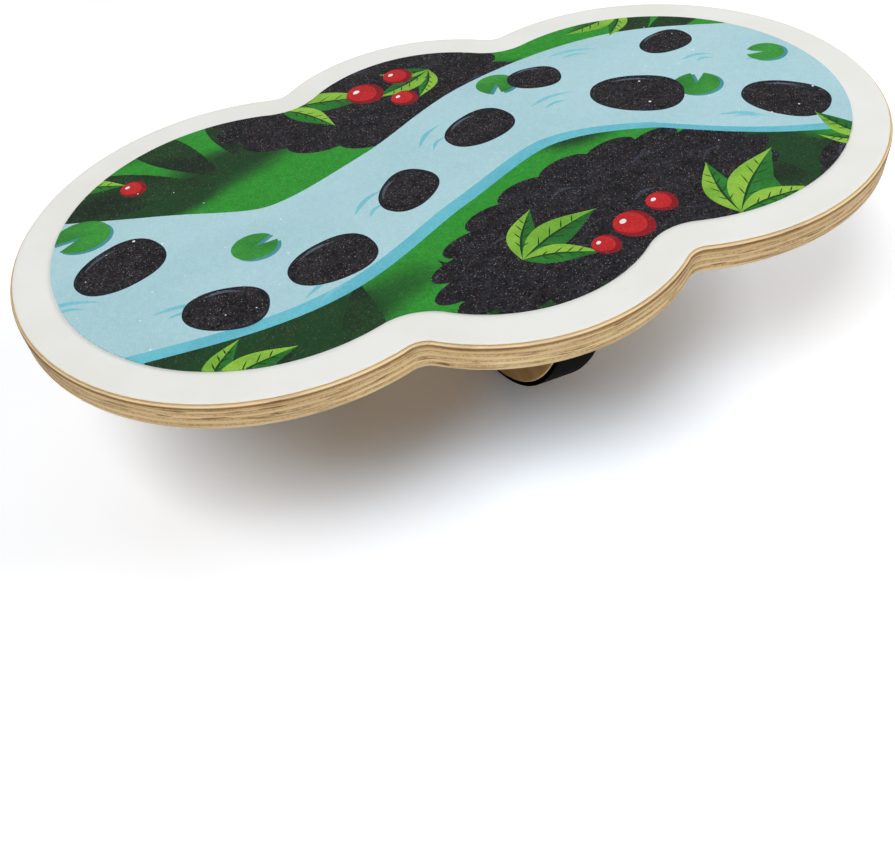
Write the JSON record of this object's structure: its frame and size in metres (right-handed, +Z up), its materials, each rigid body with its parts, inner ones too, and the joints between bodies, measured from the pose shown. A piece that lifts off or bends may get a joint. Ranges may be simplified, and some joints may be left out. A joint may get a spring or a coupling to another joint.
{
  "type": "wobble board",
  "caption": "Lobed plywood balance board with a gritty printed top, standing on crossed curved rockers with rubber treads.",
  "frame": {"origin": "centre of the bounding box's bottom face: the point on the floor under the middle of the level board", "axes": "+X along the deck's long axis, +Y across it away from the camera side, +Z up from the floor to the standing surface"},
  "size_m": [0.6, 0.364, 0.1423],
  "materials": {
    "deck_plywood": "pale birch plywood, sanded, with a thin clear varnish; plies show at the rim",
    "white_laminate": "smooth satin white facing",
    "printed_grit": "printed anti-slip sheet with fine glittering grit",
    "rocker_plywood": "birch plywood, slightly browner than the deck, sanded",
    "tread_rubber": "dull black rubber strip",
    "end_stop_rubber": "dull black rubber strip with round ends",
    "zinc_plated_steel": "zinc-plated countersunk wood screws, hidden under the face sheet"
  },
  "bodies": {
    "root": {"deck_board": "deck_plywood", "white_face_sheet": "white_laminate", "grip_sheet": "printed_grit", "long_rocker": "rocker_plywood", "cross_rocker": "rocker_plywood", "long_tread": "tread_rubber", "cross_tread_front": "tread_rubber", "cross_tread_rear": "tread_rubber", "end_stop_left": "end_stop_rubber", "end_stop_right": "end_stop_rubber", "long_screw_left_outer": "zinc_plated_steel", "long_screw_left_inner": "zinc_plated_steel", "long_screw_right_inner": "zinc_plated_steel", "long_screw_right_outer": "zinc_plated_steel", "cross_screw_front_outer": "zinc_plated_steel", "cross_screw_front_inner": "zinc_plated_steel", "cross_screw_rear_inner": "zinc_plated_steel", "cross_screw_rear_outer": "zinc_plated_steel"}
  },
  "joints": []
}
